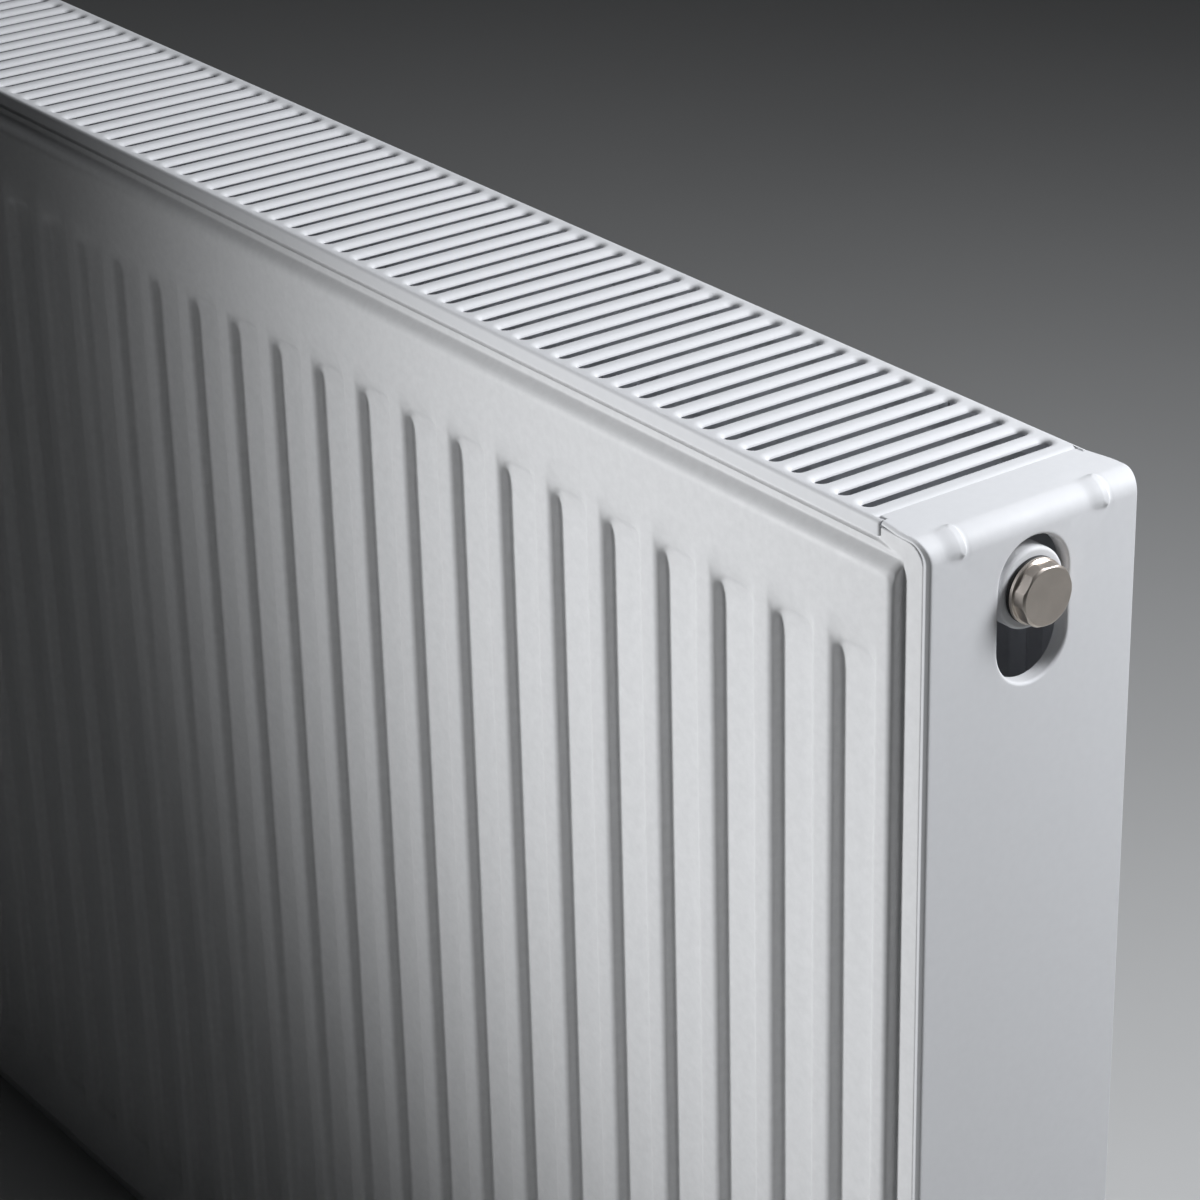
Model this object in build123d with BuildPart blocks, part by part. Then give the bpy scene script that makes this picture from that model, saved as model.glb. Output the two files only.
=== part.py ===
"""Double-panel, double-convector steel radiator with a blanking plug and a manual air vent.

X runs along the length, the room side faces -Y, +Z is up. The origin is the middle of the
underside of the whole object. Sizes are in millimetres.
"""

import os

from build123d import *

os.makedirs("parts", exist_ok=True)

# ---------------------------------------------------------------- driving dimensions
overall_length = 1000.0  # over the outer faces of the two side covers
overall_height = 600.0  # underside of the panels to the top of the grille
seam_depth = 96.6  # between the outer faces of the front and rear seams
channel_pitch = 100.0 / 3.0  # spacing of the vertical waterways
relief = 5.0  # how far the waterways stand proud of the seam
sheet = 1.2  # thickness of the pressed panel sheets
groove_count = 29
end_margin = 30.6  # panel end to the centre of the last groove
grille_rise = 2.5  # top of the grille above the top edge of the panels
lug_projection = 8.0  # how far the hanging lugs stand behind the rear panel
joint_gap = 0.3  # clearance between pieces that come apart

# ---------------------------------------------------------------- derived places
panel_length = (groove_count - 1) * channel_pitch + 2 * end_margin
panel_height = overall_height - grille_rise
mid_y = -lug_projection / 2
front_weld_y = mid_y - seam_depth / 2 + sheet
rear_weld_y = mid_y + seam_depth / 2 - sheet
groove_x = [channel_pitch * (i - (groove_count - 1) / 2) for i in range(groove_count)]
land_x = [channel_pitch * (i - (groove_count - 2) / 2) for i in range(groove_count - 1)]
proud_y = seam_depth / 2 - 2 * sheet - relief  # inner proud faces, from mid_y

# Panel pressing, measured in from the edge of the sheet.
seam_corner = 8.0
wall_foot = (9.7, 7.9)  # foot of the raised wall: at the ends, at top and bottom
wall_head = (10.4, 12.0)  # head of the raised wall: at the ends, at top and bottom
header_height = 43.0  # panel edge to the mouth of the grooves
groove_mouth_width = 23.8
groove_floor_width = 18.8
groove_end_slope = 7.0
groove_corner = 6.5
raised_corner = 6.0
hollow_foot = (10.8, 8.5)  # as wall_foot and wall_head, on the waterways' side of the sheet
hollow_head = (11.5, 12.6)
hollow_corner = 5.0
island_growth = (1.5, 0.8)  # how much larger a groove is on its inner side: width, length

# Rebate along the top seam, where the grille hooks over it.
rebate_drop = 5.3
rebate_offset = 1.3
rebate_half = 474.8

# Connections.
tapping_drop = 28.3  # panel edge to the axis of each tapping
tapping_top = panel_height - tapping_drop
boss_diameter = 30.5
boss_face = panel_length / 2 + 1.6
cross_tube_x = 470.0
cross_tube_diameter = 26.0
waterway_diameter = 20.0
port_margin = 1.0  # how far the waterway's cut runs past both faces of a sheet
boss_edge_radius = 1.5
thread_radius = 9.315  # G 1/2, minor diameter
thread_length = 16.0
passage_radius = 8.0

# Plug and vent.
seal_thickness = 1.6
seal_diameter = 24.6
flange_thickness = 1.7
flange_diameter = 24.4
hex_across_flats = 22.0
hex_length = 5.3
hex_turn = -3.0
face_diameter = 21.7
shank_radius = thread_radius - 0.045
shank_length = 13.5
seal_bore = 18.9

# Grille.
grille_sheet = 1.0
grille_half = 471.0
grille_flange_half = 474.4
grille_flange_drop = 5.7
slot_count = 74
slot_pitch = 12.6
slot_width = 5.2
slot_length = 86.0
slot_lip = 0.8
slot_lip_depth = 4.0
grille_edge_radius = 2.0

# Side covers.
cover_sheet = 1.2
cover_bend = 8.5
cover_bottom = 2.0
cover_flange_y = 45.5
cover_notch_y = 44.2
cover_hole = (32.0, 55.4)
cover_hole_shift = 7.5  # hole centre from the tapping axis, towards mid-height
cover_lip = 1.0
cover_lip_depth = 6.0
cover_corner = 4.5
pad_places = (-33.7, 32.3)  # raised pads across the top bend, along Y from the middle
pad_width = 5.6
pad_rise = 1.3
pad_edge_radius = 0.8


# ---------------------------------------------------------------- pressed panel sheets
def facing(y, outward):
    """Upright plane at y whose normal is outward along Y and whose sketch Y axis is +Z."""
    return Plane(origin=(0, y, panel_height / 2), x_dir=(-outward, 0, 0), z_dir=(0, outward, 0))


def rounded_loft(plane, low, low_size, high, high_size, corner):
    """Solid between two rounded rectangles at the heights low and high above a plane."""
    with BuildPart() as tool:
        with BuildSketch(plane.offset(low)):
            RectangleRounded(*low_size, corner)
        with BuildSketch(plane.offset(high)):
            RectangleRounded(*high_size, corner)
        loft(ruled=True)
    return tool.part


def inset_size(inset_x, inset_z):
    return panel_length - 2 * inset_x, panel_height - 2 * inset_z


def pressed_sheet(weld_y, outward, joggle, ports):
    """One pressed sheet lying on its weld plane, bulging outward between the grooves.

    The joggle moves the top rebate along the sheet's own outward normal. Ports are the
    waterway holes that open into the cross tubes.
    """
    weld = facing(weld_y, outward)
    seam = weld.offset(sheet)
    proud = sheet + relief
    mouth_length = panel_height - 2 * header_height
    floor_length = mouth_length - 2 * groove_end_slope
    lip = joggle * rebate_offset
    step = sheet if joggle > 0 else 0
    strip_top = panel_height / 2
    strip_foot = strip_top - rebate_drop - step

    raised = rounded_loft(
        weld, sheet, inset_size(*wall_foot), proud, inset_size(*wall_head), raised_corner
    )
    hollow = rounded_loft(
        weld, 0, inset_size(*hollow_foot), relief, inset_size(*hollow_head), hollow_corner
    )
    groove = rounded_loft(
        seam, 0, (groove_floor_width, floor_length),
        relief, (groove_mouth_width, mouth_length), groove_corner,
    )
    wider, longer = island_growth
    island = rounded_loft(
        weld, 0, (groove_floor_width + wider, floor_length + longer),
        relief, (groove_mouth_width + wider, mouth_length + longer), groove_corner,
    )

    with BuildPart() as cavity:
        add(hollow)
        with Locations(*[(x, 0, 0) for x in groove_x]):
            add(island, mode=Mode.SUBTRACT)

    with BuildPart() as pressing:
        with BuildSketch(weld):
            RectangleRounded(panel_length, panel_height, seam_corner)
        extrude(amount=sheet)
        add(raised)
        with Locations(*[(x, 0, 0) for x in groove_x]):
            add(groove, mode=Mode.SUBTRACT)
        add(cavity.part, mode=Mode.SUBTRACT)
        with BuildSketch(weld):
            with Locations((0, (strip_top + strip_foot) / 2)):
                Rectangle(2 * rebate_half, strip_top - strip_foot)
        extrude(amount=sheet, mode=Mode.SUBTRACT)
        with BuildSketch(weld.offset(lip)):
            with Locations((0, (strip_top + strip_foot - sheet) / 2)):
                Rectangle(2 * rebate_half, strip_top - strip_foot + sheet)
        extrude(amount=sheet)
        with BuildSketch(weld.offset(min(lip, 0))):
            with Locations((0, strip_foot - sheet / 2)):
                Rectangle(2 * rebate_half, sheet)
        extrude(amount=sheet + rebate_offset)
        if ports:
            with BuildSketch(weld.offset(relief - port_margin)):
                with GridLocations(2 * cross_tube_x, panel_height - 2 * tapping_drop, 2, 2):
                    Circle(waterway_diameter / 2)
            extrude(amount=sheet + 2 * port_margin, mode=Mode.SUBTRACT)
    return pressing.part


sheets = {
    "front_panel_outer_sheet": pressed_sheet(front_weld_y, -1, -1, False),
    "front_panel_inner_sheet": pressed_sheet(front_weld_y, 1, 1, True),
    "rear_panel_inner_sheet": pressed_sheet(rear_weld_y, -1, 1, True),
    "rear_panel_outer_sheet": pressed_sheet(rear_weld_y, 1, -1, False),
}
for name, pressing in sheets.items():
    pressing.label = name
    export_step(pressing, f"parts/{name}.step")


# ---------------------------------------------------------------- convector fins
fin_sheet = 0.4
fin_reach = 38.0
fin_foot = 9.0  # width welded to each land, and of each crest
fin_bottom = 60.0
fin_top = 537.0


def convector(side):
    """Corrugated sheet welded to the lands of one inner sheet; side is -1 front, +1 rear."""
    foot_y = mid_y + side * (proud_y - fin_sheet / 2)
    crest_y = mid_y + side * (proud_y - fin_reach)
    points = []
    for x in land_x:
        points += [(x - fin_foot / 2, foot_y), (x + fin_foot / 2, foot_y)]
        if x != land_x[-1]:
            crest_x = x + channel_pitch / 2
            points += [(crest_x - fin_foot / 2, crest_y), (crest_x + fin_foot / 2, crest_y)]
    with BuildPart() as fins:
        with BuildSketch(Plane.XY.offset(fin_bottom)):
            with BuildLine():
                Polyline(*points)
            trace(line_width=fin_sheet)
        extrude(amount=fin_top - fin_bottom)
    return fins.part


for name, side in (("front_convector", -1), ("rear_convector", 1)):
    fins = convector(side)
    fins.label = name
    export_step(fins, f"parts/{name}.step")


# ---------------------------------------------------------------- corner connection tees
def end_plane(side, x, z):
    """Plane across the X axis at x, facing outward at the right (+1) or left (-1) end."""
    return Plane(origin=(side * x, mid_y, z), x_dir=(0, side, 0), z_dir=(side, 0, 0))


def connection_tee(side, z):
    """Cross tube between the two panels with a threaded boss facing outward."""
    across = Plane(origin=(side * cross_tube_x, mid_y, z), x_dir=(1, 0, 0), z_dir=(0, -1, 0))
    with BuildPart() as tee:
        with BuildSketch(across):
            Circle(cross_tube_diameter / 2)
        extrude(amount=proud_y, both=True)
        with BuildSketch(end_plane(side, cross_tube_x, z)):
            Circle(boss_diameter / 2)
        extrude(amount=boss_face - cross_tube_x)
        rims = tee.edges().filter_by(GeomType.CIRCLE).sort_by(Axis.X)
        fillet(rims[-1 if side > 0 else 0], boss_edge_radius)
        with BuildSketch(across):
            Circle(waterway_diameter / 2)
        extrude(amount=proud_y, both=True, mode=Mode.SUBTRACT)
        with BuildSketch(end_plane(side, cross_tube_x, z)):
            Circle(passage_radius)
        extrude(amount=boss_face - cross_tube_x, mode=Mode.SUBTRACT)
        with BuildSketch(end_plane(side, boss_face - thread_length, z)):
            Circle(thread_radius)
        extrude(amount=thread_length, mode=Mode.SUBTRACT)
    return tee.part


corners = {
    "top_right_tee": (1, tapping_top),
    "top_left_tee": (-1, tapping_top),
    "bottom_right_tee": (1, tapping_drop),
    "bottom_left_tee": (-1, tapping_drop),
}
for name, (side, z) in corners.items():
    tee = connection_tee(side, z)
    tee.label = name
    export_step(tee, f"parts/{name}.step")


# ---------------------------------------------------------------- plug, vent and their seals
seal_outer_x = boss_face + seal_thickness
flange_outer_x = seal_outer_x + flange_thickness
face_x = flange_outer_x + hex_length


def face_seal(side):
    """Flat ring under the flange of the plug or the vent."""
    with BuildPart() as ring:
        with BuildSketch(end_plane(side, boss_face, tapping_top)):
            Circle(seal_diameter / 2)
            Circle(seal_bore / 2, mode=Mode.SUBTRACT)
        extrude(amount=seal_thickness)
    return ring.part


def hex_fitting(side):
    """Threaded shank, round flange and hexagon whose corners are turned down at the face."""
    with BuildPart() as fitting:
        with BuildSketch(end_plane(side, seal_outer_x - shank_length, tapping_top)):
            Circle(shank_radius)
        extrude(amount=shank_length)
        with BuildSketch(end_plane(side, seal_outer_x, tapping_top)):
            Circle(flange_diameter / 2)
        extrude(amount=flange_thickness)
        with BuildSketch(end_plane(side, flange_outer_x, tapping_top)):
            RegularPolygon(hex_across_flats / 2, 6, major_radius=False, rotation=hex_turn)
        extrude(amount=hex_length)
        with BuildSketch(end_plane(side, flange_outer_x, tapping_top)):
            Circle(face_diameter / 2 + hex_length)
        with BuildSketch(end_plane(side, face_x, tapping_top)):
            Circle(face_diameter / 2)
        turned = loft(mode=Mode.PRIVATE)
        with BuildSketch(end_plane(side, seal_outer_x - shank_length, tapping_top)):
            Circle(face_diameter / 2 + hex_length)
        behind = extrude(amount=shank_length + flange_thickness, mode=Mode.PRIVATE)
        add(turned + behind, mode=Mode.INTERSECT)
    return fitting.part


for name, side in (("blanking_plug_seal", 1), ("air_vent_seal", -1)):
    ring = face_seal(side)
    ring.label = name
    export_step(ring, f"parts/{name}.step")

blanking_plug = hex_fitting(1)
blanking_plug.label = "blanking_plug"
export_step(blanking_plug, "parts/blanking_plug.step")

# Air vent: distances are outward from the boss face of the top left tapping.
gland_radius = 4.0
gland = (3.2, 7.4)
well_radius = 5.25
bleed_bore_radius = 3.0
bleed_bore_end = -8.0
port_radius = 1.2
spindle_tip_radius = 1.0
weep_radius = 0.5
weep_at = 4.0
spindle_clearance = 0.05
spindle_collar = (5.8, 6.4)
spindle_ring = (4.6, 5.8)
spindle_ring_radius = 2.5
spindle_tip = (-6.2, -7.9)
square_key = 5.0
square_top = 8.5


def vent_plane(distance):
    return end_plane(-1, boss_face + distance, tapping_top)


with BuildPart() as air_vent_body:
    add(hex_fitting(-1))
    with BuildSketch(vent_plane(gland[1])):
        Circle(well_radius)
    extrude(amount=hex_length, mode=Mode.SUBTRACT)
    with BuildSketch(vent_plane(gland[0])):
        Circle(gland_radius)
    extrude(amount=gland[1] - gland[0], mode=Mode.SUBTRACT)
    with BuildSketch(vent_plane(bleed_bore_end)):
        Circle(bleed_bore_radius)
    extrude(amount=gland[0] - bleed_bore_end, mode=Mode.SUBTRACT)
    with BuildSketch(vent_plane(seal_thickness - shank_length)):
        Circle(port_radius)
    extrude(amount=bleed_bore_end - seal_thickness + shank_length, mode=Mode.SUBTRACT)
    with BuildSketch(Plane(origin=(-boss_face - weep_at, mid_y, tapping_top), z_dir=(0, 0, -1))):
        Circle(weep_radius)
    extrude(amount=hex_across_flats, mode=Mode.SUBTRACT)
air_vent_body.part.label = "air_vent_body"
export_step(air_vent_body.part, "parts/air_vent_body.step")

with BuildPart() as bleed_spindle:
    with BuildSketch(vent_plane(spindle_tip[1])):
        Circle(spindle_tip_radius)
    with BuildSketch(vent_plane(spindle_tip[0])):
        Circle(bleed_bore_radius - spindle_clearance)
    loft()
    with BuildSketch(vent_plane(spindle_tip[0])):
        Circle(bleed_bore_radius - spindle_clearance)
    extrude(amount=gland[0] - spindle_tip[0])
    with BuildSketch(vent_plane(gland[0])):
        Circle(bleed_bore_radius - spindle_clearance)
    extrude(amount=spindle_ring[0] - gland[0])
    with BuildSketch(vent_plane(spindle_ring[0])):
        Circle(spindle_ring_radius)
    extrude(amount=spindle_ring[1] - spindle_ring[0])
    with BuildSketch(vent_plane(spindle_collar[0])):
        Circle(gland_radius - spindle_clearance)
    extrude(amount=spindle_collar[1] - spindle_collar[0])
    with BuildSketch(vent_plane(spindle_collar[1])):
        Rectangle(square_key, square_key)
    extrude(amount=square_top - spindle_collar[1])
bleed_spindle.part.label = "bleed_spindle"
export_step(bleed_spindle.part, "parts/bleed_spindle.step")

with BuildPart() as bleed_spindle_ring:
    with BuildSketch(vent_plane(spindle_ring[0] + spindle_clearance)):
        Circle(gland_radius - spindle_clearance)
        Circle(spindle_ring_radius + spindle_clearance, mode=Mode.SUBTRACT)
    extrude(amount=spindle_ring[1] - spindle_ring[0] - 2 * spindle_clearance)
bleed_spindle_ring.part.label = "bleed_spindle_ring"
export_step(bleed_spindle_ring.part, "parts/bleed_spindle_ring.step")


# ---------------------------------------------------------------- top grille and its clips
grille_slots = GridLocations(slot_pitch, 0, slot_count, 1)

with BuildPart() as top_grille:
    with BuildSketch(Plane(origin=(0, mid_y, overall_height - grille_flange_drop))):
        Rectangle(2 * grille_flange_half, seam_depth)
    extrude(amount=grille_flange_drop)
    fillet(
        top_grille.edges().filter_by(Axis.X).group_by(Axis.Z)[-1], grille_edge_radius
    )
    with BuildSketch(Plane(origin=(0, mid_y, overall_height - grille_flange_drop))):
        Rectangle(2 * grille_flange_half, seam_depth - 2 * grille_sheet)
    extrude(amount=grille_flange_drop - grille_sheet, mode=Mode.SUBTRACT)
    with BuildSketch(Plane(origin=(0, mid_y, overall_height - grille_flange_drop))):
        for side in (-1, 1):
            with Locations((side * (grille_half + grille_flange_half) / 2, 0)):
                Rectangle(grille_flange_half - grille_half, 2 * cover_flange_y + 2 * joint_gap)
    extrude(amount=grille_flange_drop, mode=Mode.SUBTRACT)
    with BuildSketch(Plane(origin=(0, mid_y, overall_height - slot_lip_depth))):
        for side in (-1, 1):
            with Locations((side * (grille_half - grille_sheet / 2), 0)):
                Rectangle(grille_sheet, slot_length)
    extrude(amount=slot_lip_depth - grille_sheet)
    with BuildSketch(Plane(origin=(0, mid_y, overall_height - slot_lip_depth))):
        with grille_slots:
            SlotOverall(slot_length + 2 * slot_lip, slot_width + 2 * slot_lip, rotation=90)
    extrude(amount=slot_lip_depth - grille_sheet)
    with BuildSketch(Plane(origin=(0, mid_y, overall_height - slot_lip_depth))):
        with grille_slots:
            SlotOverall(slot_length, slot_width, rotation=90)
    extrude(amount=slot_lip_depth, mode=Mode.SUBTRACT)
top_grille.part.label = "top_grille"
export_step(top_grille.part, "parts/top_grille.step")

clip_sheet = 0.5
clip_width = 5.0
clip_leg_y = seam_depth / 2 - 2 * sheet - rebate_offset - joint_gap
clip_leg = 8.5
clip_tab = 3.0
clip_spacing = 32 * slot_pitch  # a whole number of slots, so that each clip is under a bar
clip_x = (-clip_spacing, 0, clip_spacing)

with BuildPart() as grille_clips:
    for side in (-1, 1):
        tab_y = mid_y + side * (clip_leg_y - clip_sheet + clip_tab / 2)
        leg_y = mid_y + side * (clip_leg_y - clip_sheet / 2)
        with BuildSketch(Plane.XY.offset(overall_height - grille_sheet - clip_sheet)):
            with Locations(*[(x, tab_y) for x in clip_x]):
                Rectangle(clip_width, clip_tab)
        extrude(amount=clip_sheet)
        with BuildSketch(Plane.XY.offset(overall_height - grille_sheet - clip_leg)):
            with Locations(*[(x, leg_y) for x in clip_x]):
                Rectangle(clip_width, clip_sheet)
        extrude(amount=clip_leg)
grille_clips.part.label = "grille_clips"
export_step(grille_clips.part, "parts/grille_clips.step")


# ---------------------------------------------------------------- side covers and their clips
cover_face = overall_length / 2
bend_centre_z = overall_height - cover_bend
hole_levels = (tapping_top - cover_hole_shift, tapping_drop + cover_hole_shift)
cover_clip_z = (120.0, 480.0)
cover_clip_height = 12.0
cover_clip_y = seam_depth / 2 - 2 * sheet - joint_gap
cover_clip_reach = 8.5
cover_clip_tab = 10.0


def raised_pad(side, place):
    """Short rounded bead that follows the outside of a side cover's top bend."""
    bend_x = cover_face - cover_bend
    profile = Plane(origin=(0, mid_y + place, 0), x_dir=(side, 0, 0), z_dir=(0, -side, 0))
    with BuildPart() as pad:
        with BuildSketch(profile):
            with BuildLine():
                Line((bend_x, overall_height), (bend_x, overall_height + pad_rise))
                RadiusArc(
                    (bend_x, overall_height + pad_rise), (cover_face + pad_rise, bend_centre_z),
                    cover_bend + pad_rise,
                )
                Line((cover_face + pad_rise, bend_centre_z), (cover_face, bend_centre_z))
                RadiusArc((cover_face, bend_centre_z), (bend_x, overall_height), -cover_bend)
            make_face()
        extrude(amount=pad_width / 2, both=True)
        outer_face = pad.faces().filter_by(GeomType.CYLINDER).sort_by(SortBy.AREA)[-1]
        fillet(outer_face.edges(), pad_edge_radius)
    return pad.part


def side_cover(side):
    """Flat end plate with a bent-over top flange and two holes with rims turned inward."""
    flange_end = grille_half + joint_gap
    notch_end = rebate_half + joint_gap
    inner_bend = cover_bend - cover_sheet
    bend_x = cover_face - cover_bend
    profile = Plane(origin=(0, mid_y, 0), x_dir=(side, 0, 0), z_dir=(0, -side, 0))
    with BuildPart() as cover:
        with BuildSketch(profile):
            with BuildLine():
                Line((flange_end, overall_height), (bend_x, overall_height))
                RadiusArc((bend_x, overall_height), (cover_face, bend_centre_z), cover_bend)
                Line((cover_face, bend_centre_z), (cover_face, bend_centre_z - cover_bend))
                Line(
                    (cover_face, bend_centre_z - cover_bend),
                    (cover_face - cover_sheet, bend_centre_z - cover_bend),
                )
                Line(
                    (cover_face - cover_sheet, bend_centre_z - cover_bend),
                    (cover_face - cover_sheet, bend_centre_z),
                )
                RadiusArc(
                    (cover_face - cover_sheet, bend_centre_z),
                    (bend_x, overall_height - cover_sheet), -inner_bend,
                )
                Line((bend_x, overall_height - cover_sheet), (flange_end, overall_height - cover_sheet))
                Line((flange_end, overall_height - cover_sheet), (flange_end, overall_height))
            make_face()
        extrude(amount=cover_flange_y, both=True)
        with BuildSketch(Plane(origin=(0, mid_y, overall_height - cover_sheet))):
            for edge in (-1, 1):
                with Locations((
                    side * (flange_end + notch_end) / 2, edge * (cover_notch_y + cover_flange_y) / 2
                )):
                    Rectangle(notch_end - flange_end, cover_flange_y - cover_notch_y)
        extrude(amount=cover_sheet, mode=Mode.SUBTRACT)
        with BuildSketch(end_plane(side, cover_face - cover_sheet, 0)):
            with Locations((0, (cover_bottom + bend_centre_z) / 2)):
                RectangleRounded(seam_depth, bend_centre_z - cover_bottom, cover_corner)
        extrude(amount=cover_sheet)
        for level in hole_levels:
            with BuildSketch(end_plane(side, cover_face - cover_lip_depth, level)):
                SlotOverall(cover_hole[1] + 2 * cover_lip, cover_hole[0] + 2 * cover_lip, rotation=90)
            extrude(amount=cover_lip_depth)
            with BuildSketch(end_plane(side, cover_face - cover_lip_depth, level)):
                SlotOverall(cover_hole[1], cover_hole[0], rotation=90)
            extrude(amount=cover_lip_depth, mode=Mode.SUBTRACT)
        for place in pad_places:
            add(raised_pad(side, place))
    return cover.part


def cover_clips(side):
    """Four angle clips inside a side cover whose arms slip behind the panel seams."""
    with BuildPart() as clips:
        for z in cover_clip_z:
            for edge in (-1, 1):
                tab = end_plane(side, cover_face - cover_sheet - clip_sheet, z)
                arm = end_plane(side, cover_face - cover_sheet - cover_clip_reach, z)
                with BuildSketch(tab):
                    with Locations((side * edge * (cover_clip_y - cover_clip_tab / 2), 0)):
                        Rectangle(cover_clip_tab, cover_clip_height)
                extrude(amount=clip_sheet)
                with BuildSketch(arm):
                    with Locations((side * edge * (cover_clip_y - clip_sheet / 2), 0)):
                        Rectangle(clip_sheet, cover_clip_height)
                extrude(amount=cover_clip_reach)
    return clips.part


for hand, side in (("right", 1), ("left", -1)):
    cover = side_cover(side)
    cover.label = f"side_cover_{hand}"
    export_step(cover, f"parts/side_cover_{hand}.step")
    clips = cover_clips(side)
    clips.label = f"side_cover_clips_{hand}"
    export_step(clips, f"parts/side_cover_clips_{hand}.step")


# ---------------------------------------------------------------- hanging lugs
rear_face_y = mid_y + seam_depth / 2 + relief
lug_sheet = 2.0
lug_foot = 9.0
lug_height = 30.0
lug_places = {
    "hanging_lug_top_right": (10.5 * channel_pitch, 480.0),
    "hanging_lug_top_left": (-10.5 * channel_pitch, 480.0),
    "hanging_lug_bottom_right": (10.5 * channel_pitch, 120.0),
    "hanging_lug_bottom_left": (-10.5 * channel_pitch, 120.0),
}


def hanging_lug(x, z):
    """Top-hat strap welded to two lands, with a gap behind it for the wall hook."""
    foot_x = channel_pitch + lug_foot / 2
    wall_x = channel_pitch - lug_foot / 2
    back = rear_face_y + lug_projection
    outline = [
        (-foot_x, rear_face_y), (-foot_x, rear_face_y + lug_sheet),
        (-wall_x, rear_face_y + lug_sheet), (-wall_x, back),
        (wall_x, back), (wall_x, rear_face_y + lug_sheet),
        (foot_x, rear_face_y + lug_sheet), (foot_x, rear_face_y),
        (wall_x - lug_sheet, rear_face_y), (wall_x - lug_sheet, back - lug_sheet),
        (lug_sheet - wall_x, back - lug_sheet), (lug_sheet - wall_x, rear_face_y),
    ]
    with BuildPart() as lug:
        with BuildSketch(Plane(origin=(x, 0, z - lug_height / 2))):
            with BuildLine():
                Polyline(*outline, close=True)
            make_face()
        extrude(amount=lug_height)
    return lug.part


for name, (x, z) in lug_places.items():
    lug = hanging_lug(x, z)
    lug.label = name
    export_step(lug, f"parts/{name}.step")
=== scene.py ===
"""A white double-panel radiator, seen at its top right corner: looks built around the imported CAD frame."""

import math

import bmesh
import bpy
import numpy as np
from mathutils import Euler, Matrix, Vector
from mathutils.geometry import delaunay_2d_cdt


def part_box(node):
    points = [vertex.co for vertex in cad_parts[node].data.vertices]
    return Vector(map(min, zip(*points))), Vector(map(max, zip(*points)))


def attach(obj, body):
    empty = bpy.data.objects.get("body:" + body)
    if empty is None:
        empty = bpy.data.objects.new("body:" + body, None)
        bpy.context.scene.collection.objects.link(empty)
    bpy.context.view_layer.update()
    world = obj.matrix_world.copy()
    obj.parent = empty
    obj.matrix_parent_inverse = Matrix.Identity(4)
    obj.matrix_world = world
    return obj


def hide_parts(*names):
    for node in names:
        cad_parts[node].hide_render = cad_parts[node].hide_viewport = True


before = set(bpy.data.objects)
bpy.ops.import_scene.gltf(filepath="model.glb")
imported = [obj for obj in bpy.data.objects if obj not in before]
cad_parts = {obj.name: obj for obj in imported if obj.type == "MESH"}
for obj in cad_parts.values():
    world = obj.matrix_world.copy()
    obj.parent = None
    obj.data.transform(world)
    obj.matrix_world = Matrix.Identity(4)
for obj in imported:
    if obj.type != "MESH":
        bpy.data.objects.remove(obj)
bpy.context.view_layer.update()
mm = 0.001

# ---------------------------------------------------------------- places from the frame
sheet_low, sheet_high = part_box("front_panel_outer_sheet")
grille_low, grille_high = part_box("top_grille")
cover_low, cover_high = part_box("side_cover_right")
plug_low, plug_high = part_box("blanking_plug")
seal_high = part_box("blanking_plug_seal")[1]
tee_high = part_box("top_right_tee")[1]
bottom_low, bottom_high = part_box("bottom_right_tee")

mid_y = (grille_low.y + grille_high.y) / 2
top_z = grille_high.z
panel_half = sheet_high.x
panel_top = sheet_high.z
front_seam_y = grille_low.y
rear_seam_y = grille_high.y
front_proud_y = sheet_low.y
relief = front_seam_y - front_proud_y
tapping_z = (plug_low.z + plug_high.z) / 2
bottom_tapping_z = (bottom_low.z + bottom_high.z) / 2
boss_x = tee_high.x
channel_pitch = 100 * mm / 3
groove_count = 29


# ---------------------------------------------------------------- mesh helpers
def make_piece(name, points, faces, material, outside=None, thickness=0, sharp_angle=50):
    """A mesh object from points and faces.

    An open sheet names the direction that its outside faces, and gets its thickness inwards.
    """
    mesh = bpy.data.meshes.new(name)
    mesh.from_pydata(np.asarray(points, float).tolist(), [], [list(map(int, f)) for f in faces])
    work = bmesh.new()
    work.from_mesh(mesh)
    bmesh.ops.remove_doubles(work, verts=work.verts, dist=0.004 * mm)
    bmesh.ops.dissolve_degenerate(work, edges=work.edges, dist=0.002 * mm)
    bmesh.ops.recalc_face_normals(work, faces=work.faces)
    if outside is not None:
        turned = sum(f.normal.dot(Vector(outside)) * f.calc_area() for f in work.faces)
        if turned < 0:
            bmesh.ops.reverse_faces(work, faces=work.faces)
    work.to_mesh(mesh)
    work.free()
    mesh.materials.append(material)
    piece = bpy.data.objects.new(name, mesh)
    bpy.context.scene.collection.objects.link(piece)
    if thickness:
        solid = piece.modifiers.new("sheet", "SOLIDIFY")
        solid.thickness = thickness
        solid.offset = -1
        solid.use_quality_normals = True
        apply_modifiers(piece)
    piece.data.shade_smooth()
    piece.data.set_sharp_from_angle(angle=math.radians(sharp_angle))
    return piece


def grid_faces(rows, columns, closed=False):
    """Quads of a grid whose points run row by row; closed joins the last column to the first."""
    faces = []
    for r in range(rows - 1):
        for c in range(columns if closed else columns - 1):
            a = r * columns + c
            b = r * columns + (c + 1) % columns
            faces.append((a, b, b + columns, a + columns))
    return faces


def closed_tube(rows, segments):
    """Faces of a tube whose points run ring by ring, with both of its ends closed."""
    last = rows * segments
    ends = [tuple(range(segments)), tuple(range(last - segments, last))]
    return grid_faces(rows, segments, closed=True) + ends


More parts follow.
